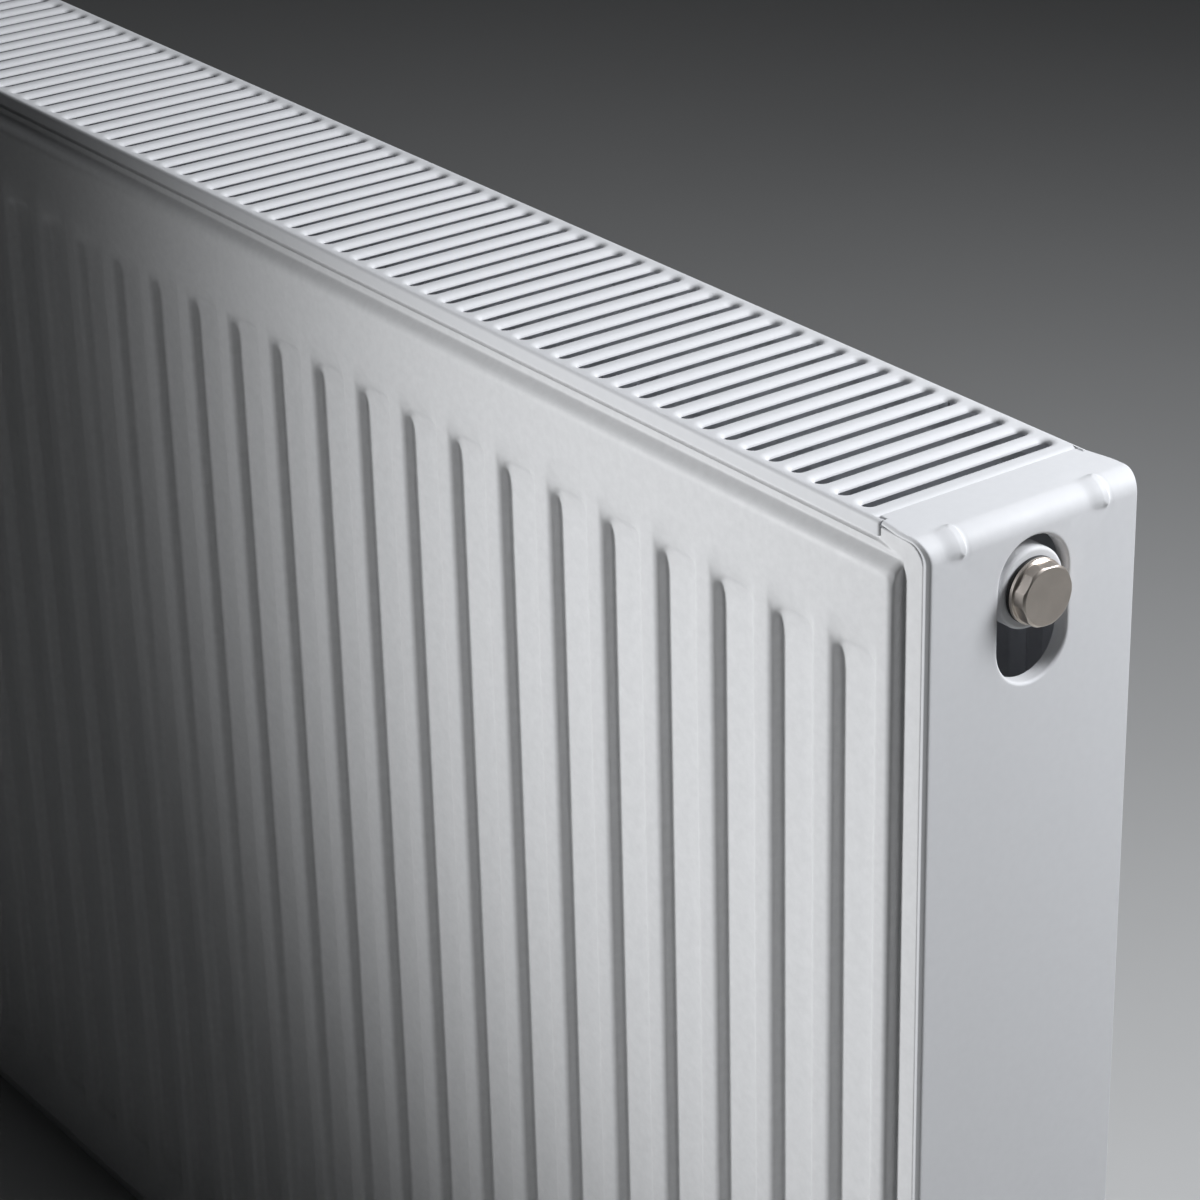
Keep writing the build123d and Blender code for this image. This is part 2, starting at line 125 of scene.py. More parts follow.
def apply_modifiers(piece):
    """Replaces a piece's mesh with what its modifiers make of it."""
    depsgraph = bpy.context.evaluated_depsgraph_get()
    final = bpy.data.meshes.new_from_object(piece.evaluated_get(depsgraph))
    piece.modifiers.clear()
    old = piece.data
    piece.data = final
    bpy.data.meshes.remove(old)


def install(piece, slot, body, *nodes):
    """Puts a piece in the place of CAD nodes, on the body that it rides on; the slot naming its finish is not
    used.
    """
    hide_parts(*nodes)
    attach(piece, body)


def join_parts(parts):
    """One list of points and one of faces from several (points, faces) pairs."""
    points, faces, start = [], [], 0
    for part_points, part_faces in parts:
        part_points = np.asarray(part_points, float).reshape(-1, 3)
        points.append(part_points)
        faces += [tuple(i + start for i in f) for f in part_faces]
        start += len(part_points)
    return np.concatenate(points), faces


def rounded_profile(corners, radii, steps=6):
    """A 2D polyline with each inner corner replaced by an arc of its radius."""
    corners = [np.array(c, float) for c in corners]
    points = [corners[0]]
    for before, corner, after, radius in zip(corners, corners[1:], corners[2:], radii):
        to_before = (before - corner) / np.linalg.norm(before - corner)
        to_after = (after - corner) / np.linalg.norm(after - corner)
        half = math.acos(np.clip(to_before @ to_after, -1, 1)) / 2
        middle = to_before + to_after
        centre = corner + middle / np.linalg.norm(middle) * radius / math.sin(half)
        first = corner + to_before * radius / math.tan(half) - centre
        turn = math.pi - 2 * half
        sign = math.copysign(1, first[0] * to_after[1] - first[1] * to_after[0])
        for step in range(steps + 1):
            angle = sign * turn * step / steps
            cos, sin = math.cos(angle), math.sin(angle)
            points.append(centre + [first[0] * cos - first[1] * sin, first[0] * sin + first[1] * cos])
    points.append(corners[-1])
    return np.array(points)


def lathe(profile, segments=96):
    """Points and faces of a profile of (distance along the axis, radius) turned about the X axis."""
    angles = np.linspace(0, 2 * math.pi, segments, endpoint=False)
    points = [
        (along, radius * math.cos(a), radius * math.sin(a)) for along, radius in profile for a in angles
    ]
    return points, grid_faces(len(profile), segments, closed=True)


# ---------------------------------------------------------------- materials
def new_material(name):
    material = bpy.data.materials.new(name)
    material.use_nodes = True
    nodes, links = material.node_tree.nodes, material.node_tree.links
    return material, nodes, links, nodes["Principled BSDF"]


def add_noise(nodes, links, coordinates, scale, detail, roughness=0.5):
    noise = nodes.new("ShaderNodeTexNoise")
    noise.inputs["Scale"].default_value = scale
    noise.inputs["Detail"].default_value = detail
    noise.inputs["Roughness"].default_value = roughness
    links.new(coordinates.outputs["Object"], noise.inputs["Vector"])
    return noise


def add_ramp(nodes, links, source, low, high):
    """Maps the middle of a noise's range to low..high."""
    span = nodes.new("ShaderNodeMapRange")
    span.inputs["From Min"].default_value = 0.3
    span.inputs["From Max"].default_value = 0.7
    span.inputs["To Min"].default_value = low
    span.inputs["To Max"].default_value = high
    links.new(source, span.inputs["Value"])
    return span


def add_bump(nodes, links, height, strength, distance, before=None):
    bump = nodes.new("ShaderNodeBump")
    bump.inputs["Strength"].default_value = strength
    bump.inputs["Distance"].default_value = distance
    links.new(height, bump.inputs["Height"])
    if before is not None:
        links.new(before.outputs["Normal"], bump.inputs["Normal"])
    return bump


def add_tint(nodes, links, surface, noise, dark, light):
    """Colours a surface between two tones, as a noise goes from low to high."""
    tint = nodes.new("ShaderNodeMix")
    tint.data_type = "RGBA"
    tint.inputs["A"].default_value = (*dark, 1)
    tint.inputs["B"].default_value = (*light, 1)
    share = add_ramp(nodes, links, noise.outputs["Fac"], 0, 1)
    links.new(share.outputs["Result"], tint.inputs["Factor"])
    links.new(tint.outputs["Result"], surface.inputs["Base Color"])


def add_gloss(nodes, links, surface, noise, low, high):
    """Varies a surface's roughness from low to high with a noise."""
    span = add_ramp(nodes, links, noise.outputs["Fac"], low, high)
    links.new(span.outputs["Result"], surface.inputs["Roughness"])


def powder_coat(name, light, dark, roughness, peel=1.0):
    """White stoved paint: a fine orange peel, a faint mottle and slightly uneven gloss."""
    material, nodes, links, surface = new_material(name)
    coordinates = nodes.new("ShaderNodeTexCoord")
    mottle = add_noise(nodes, links, coordinates, 260, 4, 0.6)
    add_tint(nodes, links, surface, mottle, dark, light)
    gloss = add_noise(nodes, links, coordinates, 90, 3)
    add_gloss(nodes, links, surface, gloss, roughness - 0.05, roughness + 0.05)
    wave = add_noise(nodes, links, coordinates, 420, 2)
    grain = add_noise(nodes, links, coordinates, 1500, 2)
    first = add_bump(nodes, links, wave.outputs["Fac"], 0.25 * peel, 0.10 * mm)
    second = add_bump(nodes, links, grain.outputs["Fac"], 0.25 * peel, 0.03 * mm, first)
    links.new(second.outputs["Normal"], surface.inputs["Normal"])
    surface.inputs["Specular IOR Level"].default_value = 0.36
    return material


def plated_metal(name, light, dark, roughness, metallic=1.0):
    """Nickel, brass or zinc: metallic, with faint tarnish clouds and a very fine grain."""
    material, nodes, links, surface = new_material(name)
    coordinates = nodes.new("ShaderNodeTexCoord")
    clouds = add_noise(nodes, links, coordinates, 120, 3)
    add_tint(nodes, links, surface, clouds, dark, light)
    wear = add_noise(nodes, links, coordinates, 900, 4)
    add_gloss(nodes, links, surface, wear, roughness - 0.02, roughness + 0.03)
    grain = add_noise(nodes, links, coordinates, 500, 2)
    bump = add_bump(nodes, links, grain.outputs["Fac"], 0.05, 0.01 * mm)
    links.new(bump.outputs["Normal"], surface.inputs["Normal"])
    surface.inputs["Metallic"].default_value = metallic
    return material


def moulded_rubber(name):
    material, nodes, links, surface = new_material(name)
    coordinates = nodes.new("ShaderNodeTexCoord")
    dust = add_noise(nodes, links, coordinates, 700, 4)
    add_tint(nodes, links, surface, dust, (0.010, 0.010, 0.011), (0.028, 0.027, 0.026))
    surface.inputs["Roughness"].default_value = 0.55
    bump = add_bump(nodes, links, dust.outputs["Fac"], 0.3, 0.03 * mm)
    links.new(bump.outputs["Normal"], surface.inputs["Normal"])
    return material


front_paint = powder_coat("front_paint", (0.83, 0.83, 0.83), (0.775, 0.775, 0.775), 0.50, 1.5)
# The covers, grille and lugs get a slightly bluer copy of the front's white paint: a painted tint of the cool
# light on their tops and sides.
cover_paint_painted_cool_tint = powder_coat("cover_paint_painted_cool_tint", (0.82, 0.825, 0.835), (0.80, 0.805, 0.815), 0.55, 0.5)
# The inner sheets and fins get a bluer, slightly lighter copy of the white paint: painted cool light on
# surfaces that are seen in shade through the gaps.
inner_paint_painted_light = powder_coat("inner_paint_painted_light", (0.84, 0.85, 0.88), (0.80, 0.81, 0.84), 0.5)
nickel = plated_metal("nickel", (0.73, 0.657, 0.586), (0.65, 0.585, 0.52), 0.31, 0.86)
brass = plated_metal("brass", (0.78, 0.60, 0.30), (0.66, 0.48, 0.22), 0.26)
zinc = plated_metal("zinc", (0.55, 0.56, 0.58), (0.42, 0.43, 0.45), 0.38)
rubber = moulded_rubber("rubber")


# ---------------------------------------------------------------- pressed panel sheets
panel_height = panel_top
sheet_thickness = 1.2 * mm
seam_corner = 8.0 * mm
wall_foot_x, wall_head_x = 9.8 * mm, 10.8 * mm
wall_foot_z, wall_head_z = 7.9 * mm, 12.0 * mm
wall_corner = (2.0 * mm, 4.4 * mm)
header_height = 43.0 * mm
mouth_half, floor_half = 11.25 * mm, 10.05 * mm
groove_end_slope = 7.0 * mm
mouth_corner, floor_corner = 7.0 * mm, 4.5 * mm
rebate_depth, ramp_depth = 1.3 * mm, 0.9 * mm
rebate_z = 592.2 * mm
rebate_end, ramp_end = 474.1 * mm, 487.4 * mm
groove_centres = [channel_pitch * (i - (groove_count - 1) / 2) for i in range(groove_count)]

# How far the surface has fallen from the proud face, against the distance inside an edge.
groove_fall = rounded_profile(
    [(-8 * mm, 0), (0, 0), (mouth_half - floor_half, relief), (10 * mm, relief)],
    [3.0 * mm, 2.6 * mm], 14,
)
end_wall_width, top_wall_width = wall_head_x - wall_foot_x, wall_head_z - wall_foot_z
end_wall_rise = rounded_profile(
    [(-9 * mm, 0), (0, 0), (end_wall_width, relief), (20 * mm, relief)], [0.6 * mm, 2.8 * mm], 14
)
top_wall_rise = rounded_profile(
    [(-9 * mm, 0), (0, 0), (top_wall_width, relief), (20 * mm, relief)], [0.7 * mm, 6.0 * mm], 14
)


def smooth_step(value, low, high):
    t = np.clip((value - low) / (high - low), 0, 1)
    return t * t * (3 - 2 * t)


def groove_depth(x, z):
    """Depth below the proud face of the groove centred on x = 0, between rounded outlines.

    The outline shrinks from the mouth to the floor; a few bisections find which one each point lies on.
    """
    half_z = panel_height / 2 - header_height
    low, high = np.full(x.shape, -4.0), np.full(x.shape, 4.0)
    for _ in range(22):
        share = (low + high) / 2
        inset = share * (mouth_half - floor_half)
        corner = mouth_corner + share * (floor_corner - mouth_corner)
        corner = np.clip(corner, 0.5 * mm, None)
        qx = np.abs(x) - (mouth_half - inset) + corner
        qz = np.abs(z - panel_height / 2) - (half_z - share * groove_end_slope) + corner
        distance = np.hypot(np.clip(qx, 0, None), np.clip(qz, 0, None)) - corner
        distance = distance + np.clip(np.maximum(qx, qz), None, 0)
        inside = distance < 0
        low, high = np.where(inside, share, low), np.where(inside, high, share)
    return np.interp((low + high) / 2 * (mouth_half - floor_half), groove_fall[:, 0], groove_fall[:, 1])


def wall_rise(x, z):
    """Height of the raised field above the seam, whose walls run between two rounded outlines."""
    from_end = panel_half - np.abs(x)
    from_edge = np.minimum(z, panel_height - z)

    def inside(share):
        """Distance inside the outline at a share of the way up the wall, and how far it faces an end."""
        corner = wall_corner[0] + share * (wall_corner[1] - wall_corner[0])
        qx = wall_foot_x + share * end_wall_width + corner - from_end
        qz = wall_foot_z + share * top_wall_width + corner - from_edge
        across, up = np.clip(qx, 0, None), np.clip(qz, 0, None)
        distance = corner - np.hypot(across, up) - np.clip(np.maximum(qx, qz), None, 0)
        both = np.hypot(across, up)
        facing = np.where(both > 0, (across / np.clip(both, 1e-9, None)) ** 2, qx > qz)
        return distance, facing

    low, high = np.zeros(x.shape), np.ones(x.shape)
    for _ in range(20):
        share = (low + high) / 2
        distance, _ = inside(share)
        low, high = np.where(distance > 0, share, low), np.where(distance > 0, high, share)
    share = (low + high) / 2
    beyond = np.clip(inside(1.0)[0], 0, None) + np.clip(inside(0.0)[0], None, 0)
    facing = inside(share)[1]
    end_rise = np.interp(share * end_wall_width + beyond, end_wall_rise[:, 0], end_wall_rise[:, 1])
    top_rise = np.interp(share * top_wall_width + beyond, top_wall_rise[:, 0], top_wall_rise[:, 1])
    return facing * end_rise + (1 - facing) * top_rise


def panel_height_field(x, z):
    """Height of the outer sheet's face above the seam's outer face."""
    rise = wall_rise(x, z)
    nearest = np.clip(np.round(x / channel_pitch), -(groove_count // 2), groove_count // 2) * channel_pitch
    return rise - groove_depth(x - nearest, z)


def rebate_field(x, z):
    """The top seam steps back under the grille's flange, with a slanted end towards the corner."""
    along = np.clip((ramp_end - np.abs(x)) / (ramp_end - rebate_end), 0, 1)
    depth = ramp_depth * along + (rebate_depth - ramp_depth) * (np.abs(x) < rebate_end)
    crease = rebate_z - (1 - along) * 2.4 * mm
    return -depth * smooth_step(z, crease, crease + 0.9 * mm)


def panel_columns():
    """X of the grid's columns: close together on the groove walls and the end walls."""
    offsets = [0, 4.4, 6.6, 7.6, 8.3, 8.9, 9.4, 9.9, 10.4, 10.9, 11.4, 11.9, 12.5, 13.2, 14.1, 15.2]
    half = [o * mm for o in offsets]
    columns = {round(c + s * o, 7) for c in groove_centres for o in half for s in (-1, 1)}
    columns |= {round(c + channel_pitch / 2, 7) for c in groove_centres[:-1]}
    ends = [0, 0.1, 0.25, 0.45, 0.7, 1.0, 1.6, 3, 5, 7, 8.4, 9.0, 9.35, 9.55, 9.7, 9.82, 9.94,
            10.06, 10.18, 10.3, 10.44, 10.6, 10.8, 11.1, 11.5, 12.0, 12.6, 13.4]
    columns = {c for c in columns if abs(c) < panel_half - 13.8 * mm}
    columns |= {round(s * (panel_half - e * mm), 7) for e in ends for s in (-1, 1)}
    columns |= {round(s * e, 7) for e in (rebate_end - 0.4 * mm, rebate_end) for s in (-1, 1)}
    return np.array(sorted(columns))


def panel_rows():
    """Z of the grid's rows: close together at the seams, header walls and groove ends."""
    edge = [0, 0.1, 0.25, 0.45, 0.7, 1.0, 1.8, 3.2, 4.2, 4.6, 4.9, 5.2, 5.5, 5.9, 6.5, 7.0, 7.4,
            7.8, 8.2, 8.7, 9.3, 10.0, 10.7, 11.3, 11.9, 12.5, 13.2, 14.0, 15.0, 17.0, 22.0, 30.0]
    groove_end = [31.5, 33, 34.5, 36, 37.2, 38.4, 39.5, 40.6, 41.6, 42.6, 43.6, 44.6, 45.6, 46.6, 47.6,
                  48.6, 49.6, 50.6, 51.6, 52.8, 54.2, 56, 60]
    low = [e * mm for e in edge + groove_end]
    middle = [panel_height * s for s in (0.3, 0.5, 0.7)]
    return np.array(low + middle + [panel_height - z for z in reversed(low)])


def pressed_sheet(name, seam_y, outward, material):
    """The pressed face of one panel: grooves between the waterways, walls, seam and rebate."""
    columns, rows = panel_columns(), panel_rows()
    x, z = np.meshgrid(columns, rows)
    over = np.clip(np.abs(x) - (panel_half - seam_corner), 0, None)
    cut = seam_corner - np.sqrt(np.clip(seam_corner**2 - over**2, 0, None))
    zone = 2 * seam_corner
    near_top, near_low = z > panel_height - zone, z < zone
    z = np.where(near_top, panel_height - zone + (z - panel_height + zone) * (1 - cut / zone), z)
    z = np.where(near_low, zone - (zone - z) * (1 - cut / zone), z)
    height = panel_height_field(x, z) + rebate_field(x, z)
    inset = np.minimum(
        panel_half - np.abs(x), np.minimum(z - cut, panel_height - cut - z)
    ).clip(0)
    worn = 0.7 * mm
    height -= np.where(inset < worn, worn - np.sqrt(np.clip(worn**2 - (worn - inset) ** 2, 0, None)), 0)
    y = seam_y + outward * height
    points = np.stack([x, y, z], -1).reshape(-1, 3)
    faces = grid_faces(len(rows), len(columns))
    return make_piece(name, points, faces, material, (0, outward, 0), sheet_thickness)


for side, name, seam_y, outward in (
    ("front", "front_panel_outer_sheet", front_seam_y, -1),
    ("rear", "rear_panel_outer_sheet", rear_seam_y, 1),
):
    pressing = pressed_sheet(side + "_pressed_sheet", seam_y, outward, front_paint)
    install(pressing, "white_powder_coat", "panels", name)


# ---------------------------------------------------------------- top grille
slot_pitch, slot_count = 12.6 * mm, 74
slot_half_width, slot_half_length = 2.6 * mm, 43.0 * mm
roll_width, roll_depth = 3.2 * mm, 1.9 * mm
plate_half_y = 46.5 * mm
plate_end = 471.0 * mm
flange_end = grille_high.x
flange_drop = grille_high.z - grille_low.z
edge_radius = 1.8 * mm
arc_steps = 12


def slot_loop(radius, straight):
    """Points (x, y) round a slot, starting at the front end of its right side, then along to the rear."""
    loop = [(radius, -straight), (radius, 0)]
    for end, first in ((1, 0), (-1, math.pi)):
        for step in range(arc_steps + 1):
            angle = first + math.pi * step / arc_steps
            loop.append((radius * math.cos(angle), end * straight + radius * math.sin(angle)))
        if end == 1:
            loop.append((-radius, 0))
    return loop[:-1]


def cell_border(straight):
    """The rectangle around one slot, with a point for each point of the slot's loop."""
    half = slot_pitch / 2
    rear_arc_end, left_middle = 2 + arc_steps, 3 + arc_steps
    border = []
    for index, (x, y) in enumerate(slot_loop(1.0, 0)):
        angle = math.degrees(math.atan2(y, x)) % 360
        tilt = abs(angle - (90 if 0 < angle < 180 else 270))
        if index == 0:
            border.append((half, -straight))
        elif index == 1:
            border.append((half, 0))
        elif index == left_middle:
            border.append((-half, 0))
        elif tilt <= 45.001:
            across = math.copysign(half * tilt / 45, x) if abs(x) > 1e-9 else 0
            border.append((across, math.copysign(plate_half_y, y)))
        else:
            end = 1 if index <= rear_arc_end else -1
            reach = straight + (plate_half_y - straight) * (90 - tilt) / 45
            border.append((math.copysign(half, x), end * reach))
    return border


def grille_cell(centre):
    """One slot with its rolled rim, out to the middle of the bars beside it."""
    straight = slot_half_length - slot_half_width
    rings = [(0, roll_depth + 0.2 * mm)]
    rings += [
        (roll_width * (1 - math.cos(a)), roll_depth * (1 - math.sin(a)))
        for a in np.linspace(0, math.pi / 2, 11)
    ]
    points = []
    for out, down in rings:
        loop = slot_loop(slot_half_width + out, straight)
        points += [(centre + x, mid_y + y, top_z - down) for x, y in loop]
    border = cell_border(straight)
    points += [(centre + x, mid_y + y, top_z) for x, y in border]
    return points, grid_faces(len(rings) + 1, len(border), closed=True)


def side_stations():
    """Y of the points that a cell has along the middle of a bar."""
    straight = slot_half_length - slot_half_width
    upper = [straight + (plate_half_y - straight) * k / 3 for k in range(4)]
    return [-y for y in reversed(upper)] + [0] + upper


def grille_edge(side):
    """The rounded front or rear edge of the grille and its flange, along the whole length."""
    inner = slot_pitch * slot_count / 2
    stations = [slot_pitch * k / 6 - inner for k in range(6 * slot_count + 1)]
    curl = [(1.0 * mm, 0), (0.6 * mm, 0.08 * mm), (0.25 * mm, 0.25 * mm), (0, 0.6 * mm)]
    ends = [(plate_end, 0)] + [(flange_end - back, inwards) for back, inwards in curl]
    stations = [(-x, i) for x, i in reversed(ends)] + [(x, 0) for x in stations] + ends
    depth = (grille_high.y - grille_low.y) / 2
    profile = rounded_profile([(plate_half_y, 0), (depth, 0), (depth, -flange_drop)], [edge_radius], 7)
    points = [
        (x, mid_y + side * (y - inwards), top_z + z) for y, z in profile for x, inwards in stations
    ]
    return points, grid_faces(len(profile), len(stations))


def grille_end(side):
    """The last half bar, rolled down at the end of the grille."""
    inner = slot_pitch * slot_count / 2
    profile = [(inner, 0)]
    profile += [
        (plate_end - roll_width * (1 - math.sin(a)), -roll_depth * (1 - math.cos(a)))
        for a in np.linspace(0, math.pi / 2, 9)
    ]
    profile.append((plate_end, -2.3 * mm))
    points = [(side * x, mid_y + y, top_z + z) for x, z in profile for y in side_stations()]
    return points, grid_faces(len(profile), len(side_stations()))


grille_parts = [grille_cell(slot_pitch * (i - (slot_count - 1) / 2)) for i in range(slot_count)]
grille_parts += [grille_edge(-1), grille_edge(1), grille_end(-1), grille_end(1)]
grille = make_piece("slotted_grille", *join_parts(grille_parts), cover_paint_painted_cool_tint, (0, 0, 1), 0.8 * mm)
install(grille, "white_powder_coat", "grille", "top_grille")


# ---------------------------------------------------------------- side covers
cover_face = 500.0 * mm
cover_bend = 8.5 * mm
cover_sheet = 1.2 * mm
cover_tip, cover_bottom = cover_low.x, cover_low.z
bend_x, bend_z = cover_face - cover_bend, top_z - cover_bend
bend_run = cover_bend * math.pi / 2
flange_half, plate_half = 47.5 * mm, (cover_high.y - cover_low.y) / 2
flange_wide = 49.3 * mm
# The flange's tip is a narrower tongue, which lies between the grille's front and rear edges.
tongue_half, tongue_end = plate_half_y - 1.0 * mm, flange_end + 0.5 * mm
pad_places = (-33.7 * mm, 32.3 * mm)
pad_rise = 0.85 * mm
pad_flat, pad_half_width, front_stretch = 1.6 * mm, 2.8 * mm, 0.38
hole_half_width, hole_half_height = 16.0 * mm, 27.7 * mm
hole_rim, hole_rim_depth = 1.3 * mm, 6.0 * mm
hole_shift = 7.5 * mm
hole_levels = (tapping_z - hole_shift, bottom_tapping_z + hole_shift)
plate_corner = 4.5 * mm
edge_profile = rounded_profile(
    [(3.0 * mm, 0), (1.3 * mm, 0), (0, 1.4 * mm), (0, 2.6 * mm)], [1.7 * mm, 0.6 * mm], 6
)
rear_squeeze, flange_scale = 0.35, 0.6


def cover_run(distance):
    """Point and outward normal (x, z) on the cover's profile, measured from the start of the bend."""
    if distance < 0:
        return (bend_x + distance, top_z), (0, 1)
    if distance < bend_run:
        angle = distance / cover_bend
        across, up = math.sin(angle), math.cos(angle)
        return (bend_x + cover_bend * across, bend_z + cover_bend * up), (across, up)
    return (cover_face, bend_z - (distance - bend_run)), (1, 0)


def pad_height(distance, y):
    """Rise of the two pads pressed out across the bend, each inside a very shallow hollow."""
    near_end, far_end = 2.8 * mm, bend_run - 2.6 * mm
    beyond = 0.7 * max(near_end - distance, distance - far_end, 0)
    across = min((y - place for place in pad_places), key=abs)
    reach = math.hypot(beyond, across if across > 0 else across * front_stretch)
    flat = pad_flat * float(smooth_step(across, -1.5 * mm, 1.5 * mm))
    rise = pad_rise * (1 - smooth_step(reach, flat, pad_half_width))
    dish = 0.12 * mm * math.exp(-(((reach - pad_half_width - 0.6 * mm) / (1.2 * mm)) ** 2))
    return float(rise - dish)


def cover_top(side):
    """The flange and the bend, with edges turned down at front and rear."""
    tip = cover_tip - bend_x
    tongue = tongue_end - bend_x
    along = [tip, tip + 0.8 * mm, tip + 2.5 * mm, tongue, tongue + 0.1 * mm, tip + 4.1 * mm, tip + 8 * mm]
    along += [-7 * mm, -4 * mm]
    along += list(np.linspace(-2.4 * mm, bend_run, 46))
    pad_zone = np.linspace(-9 * mm, 5 * mm, 48)
    between_pads = [0, 12 * mm, -14 * mm]
    middle = sorted([y for place in pad_places for y in place + pad_zone] + between_pads)
    points = []
    for distance in along:
        (x, z), (nx, nz) = cover_run(distance)
        share = float(smooth_step(distance, 0.1 * bend_run, 0.95 * bend_run))
        widened = float(smooth_step(x, rebate_end, ramp_end))
        narrow = flange_half + (flange_wide - flange_half) * widened
        if distance <= tongue:
            narrow = tongue_half
        half = narrow + (plate_half - narrow) * share
        scale = flange_scale + (1 - flange_scale) * share
        edge = [(half - inset * scale, -down * scale) for inset, down in edge_profile]
        section = [(-y, h) for y, h in reversed(edge)]
        section += [(y, pad_height(distance, y)) for y in middle]
        section += [(half - (half - y) * rear_squeeze, h) for y, h in edge]
        points += [(side * (x + nx * h), mid_y + y, z + nz * h) for y, h in section]
    columns = len(middle) + 2 * len(edge_profile)
    return points, grid_faces(len(along), columns), middle


def plate_path(inset):
    """The plate's outline as (y, z): from the bend down the rear, round the bottom and up the front."""
    half, low = plate_half - inset, cover_bottom + inset
    radius = max(plate_corner - inset, 0.4 * mm)
    down = [(half, bend_z)]
    for step in range(9):
        angle = math.pi / 2 * step / 8
        down.append((half - radius + radius * math.cos(angle), low + radius - radius * math.sin(angle)))
    rear = [(y + inset * (1 - rear_squeeze), z) for y, z in down]
    return rear + [(-y, z) for y, z in reversed(down)]


def hole_loop(level, grow):
    """Points (y, z) around one of the cover's upright obround holes, made larger by grow."""
    radius, straight = hole_half_width + grow, hole_half_height - hole_half_width
    loop = []
    for end, first in ((1, 0), (-1, math.pi)):
        for step in range(25):
            angle = first + math.pi * step / 24
            loop.append((radius * math.cos(angle), level + end * straight + radius * math.sin(angle)))
    return loop


def hole_gap(y, z):
    """Distance from a point of the plate to the nearest hole's clear outline."""
    straight = hole_half_height - hole_half_width
    return min(
        math.hypot(y, max(abs(z - level) - straight, 0)) - hole_half_width for level in hole_levels
    )


def cover_plate(side, middle):
    """The flat plate with its rounded edges and its two holes, whose rims turn inwards."""
    parts = []
    paths = [
        [(side * (cover_face - down), mid_y + y, z) for y, z in plate_path(inset)]
        for inset, down in edge_profile
    ]
    parts.append((np.array(paths).reshape(-1, 3), grid_faces(len(paths), len(paths[0]))))

    rim_margin = hole_rim + 0.6 * mm
    rim = [(rim_margin, 0)]
    for t in np.linspace(0, math.pi / 2, 8):
        rim.append((hole_rim * (1 - math.sin(t)), hole_rim * (1 - math.cos(t))))
    rim.append((0, hole_rim_depth))
    for level in hole_levels:
        loops = [
            [(side * (cover_face - down), mid_y + y, z) for y, z in hole_loop(level, grow)]
            for grow, down in rim
        ]
        faces = grid_faces(len(rim), len(loops[0]), closed=True)
        parts.append((np.array(loops).reshape(-1, 3), faces))

    outline = plate_path(edge_profile[0][0])
    flat = [Vector(p) for p in outline + [(y, bend_z) for y in middle]]
    edges = [(i, (i + 1) % len(flat)) for i in range(len(flat))]
    for level in hole_levels:
        loop = hole_loop(level, rim_margin)
        start = len(flat)
        flat += [Vector(p) for p in loop]
        edges += [(start + i, start + (i + 1) % len(loop)) for i in range(len(loop))]
    # Rows just below the bend, where the pads run out onto the plate.
    for down in np.arange(1, 12) * 0.35 * mm:
        row = [y for y in middle if abs(abs(y) - 33 * mm) < 5 * mm]
        if down < 0.5 * mm:
            row += [y * mm for y in range(-46, 47, 2) if abs(y) < 5 or abs(y) > 12]
        flat += [Vector((y, bend_z - down)) for y in row if hole_gap(y, bend_z - down) > 2.4 * mm]
    found, _, triangles, _, _, _ = delaunay_2d_cdt(flat, edges, [], 0, 1e-7)
    kept = []
    for triangle in triangles:
        y, z = sum((found[i] for i in triangle), Vector((0, 0))) / 3
        if hole_gap(y, z) > rim_margin - 0.05 * mm:
            kept.append(tuple(triangle))
    plate = []
    for y, z in found:
        rise = pad_height(bend_run + bend_z - z, y) if z > bend_z - 6 * mm else 0
        plate.append((side * (cover_face + rise), mid_y + y, z))
    parts.append((plate, kept))
    return parts


for hand, side in (("right", 1), ("left", -1)):
    top_points, top_faces, middle = cover_top(side)
    parts = [(top_points, top_faces)] + cover_plate(side, middle)
    cover = make_piece(
        f"end_cover_{hand}", *join_parts(parts), cover_paint_painted_cool_tint, (side, 0, 0.2), cover_sheet, 60
    )
    install(cover, "white_powder_coat", f"{hand}_cover", f"side_cover_{hand}")


# ---------------------------------------------------------------- plug, vent, seals and tees
seal_depth = seal_high.x - boss_x
flange_at = boss_x + seal_depth
flange_radius, flange_depth = 12.2 * mm, 1.7 * mm
hex_half_flat = 11.0 * mm
hex_turn = math.radians(-5)
face_radius = 10.7 * mm
corner_radius, chamfer_slope = 11.5 * mm, 0.8
face_at = plug_high.x
shank_radius, shank_depth = 9.27 * mm, 13.5 * mm
thread_pitch = 1.814 * mm


def hexagon_radius(angle):
    """Distance from the axis to a hexagon's outline, with its corners cut off by a circle."""
    within = (angle - hex_turn) % (math.pi / 3) - math.pi / 6
    return min(hex_half_flat / math.cos(within), corner_radius)


